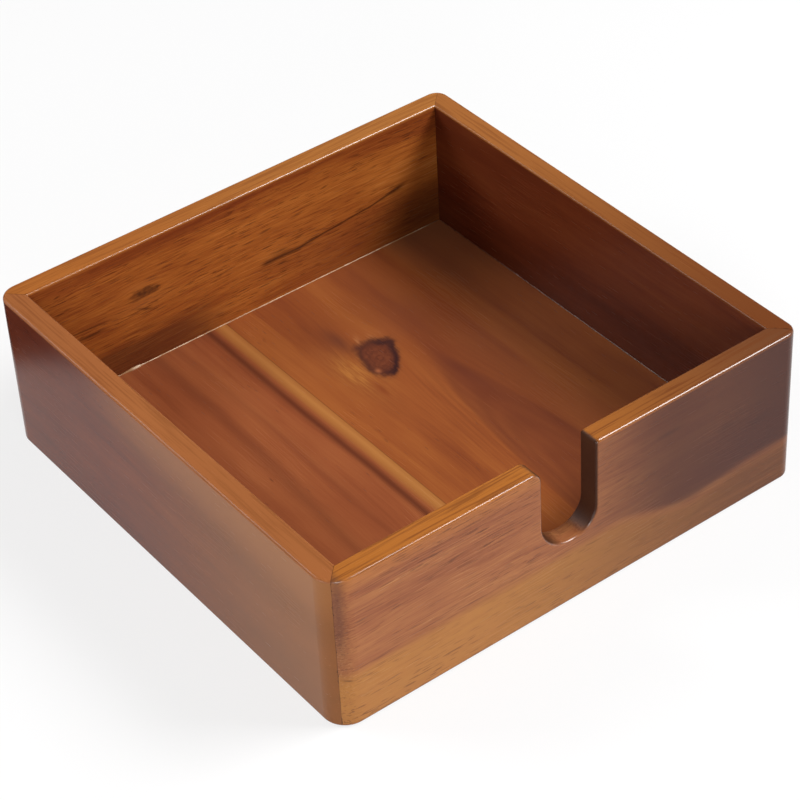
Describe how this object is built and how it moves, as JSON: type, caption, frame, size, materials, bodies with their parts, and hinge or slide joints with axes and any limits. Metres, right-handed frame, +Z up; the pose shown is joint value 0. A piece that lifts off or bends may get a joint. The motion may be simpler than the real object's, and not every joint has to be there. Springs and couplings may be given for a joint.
{
  "type": "napkin holder",
  "caption": "Square open-topped wooden tray with mitred walls, a recessed floor and a U-shaped thumb notch in the front wall, for a stack of folded napkins.",
  "frame": {"origin": "on the table, under the middle of the holder", "axes": "+Z up out of the open top, -Y out of the front wall that has the thumb notch, +X to the right of someone facing that wall"},
  "size_m": [0.19, 0.19, 0.061],
  "materials": {
    "wall_wood": "acacia, reddish brown with dark streaks and paler sapwood, clear satin lacquer",
    "floor_wood": "edge-glued acacia, reddish brown with a golden sapwood strip and a dark knot, clear satin lacquer",
    "spline_wood": "bare hardwood strip, hidden in the joints"
  },
  "bodies": {
    "root": {"wall_front": "wall_wood", "wall_left": "wall_wood", "wall_back": "wall_wood", "wall_right": "wall_wood", "floor_board_left": "floor_wood", "floor_board_right": "floor_wood", "spline_front_left": "spline_wood", "spline_front_right": "spline_wood", "spline_back_right": "spline_wood", "spline_back_left": "spline_wood"}
  },
  "joints": []
}
